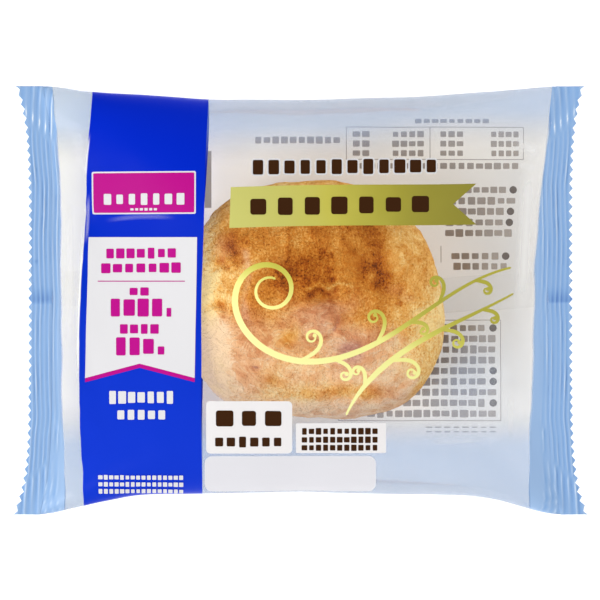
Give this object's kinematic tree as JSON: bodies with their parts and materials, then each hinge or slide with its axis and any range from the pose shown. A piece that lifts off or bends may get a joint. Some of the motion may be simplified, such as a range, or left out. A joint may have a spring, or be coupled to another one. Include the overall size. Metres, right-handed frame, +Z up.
{
  "type": "cream puff in a sealed pillow pack",
  "caption": "Choux puff sealed in a clear pillow pack: flat crimped ends with pinked edges, a folded seam along the back, and fields of coloured print on the front.",
  "frame": {"origin": "on the flat spot of the back that the pack rests on, at the middle of its length and width", "axes": "+X along the pack from the blue end to the clear end, +Y across it, +Z up out of the printed front"},
  "size_m": [0.1492, 0.113, 0.0379],
  "materials": {
    "clear_film": "clear glossy film, softly wrinkled, with a light-blue tint printed along its long edges",
    "sealed_film": "light-blue printed film, crimped in fine ridges where it is sealed",
    "choux_crust": "baked choux crust, craggy and brown on the cap, smoother and golden on the sides",
    "blue_print": "opaque royal-blue ink under glossy film",
    "white_print": "opaque white ink under glossy film",
    "magenta_print": "opaque magenta ink under glossy film",
    "gold_print": "olive-gold metallic ink under glossy film",
    "dark_print": "dark-brown ink under glossy film",
    "grey_print": "dark-grey ink on the back film"
  },
  "bodies": {
    "root": {"pack": "clear_film"}
  },
  "joints": []
}
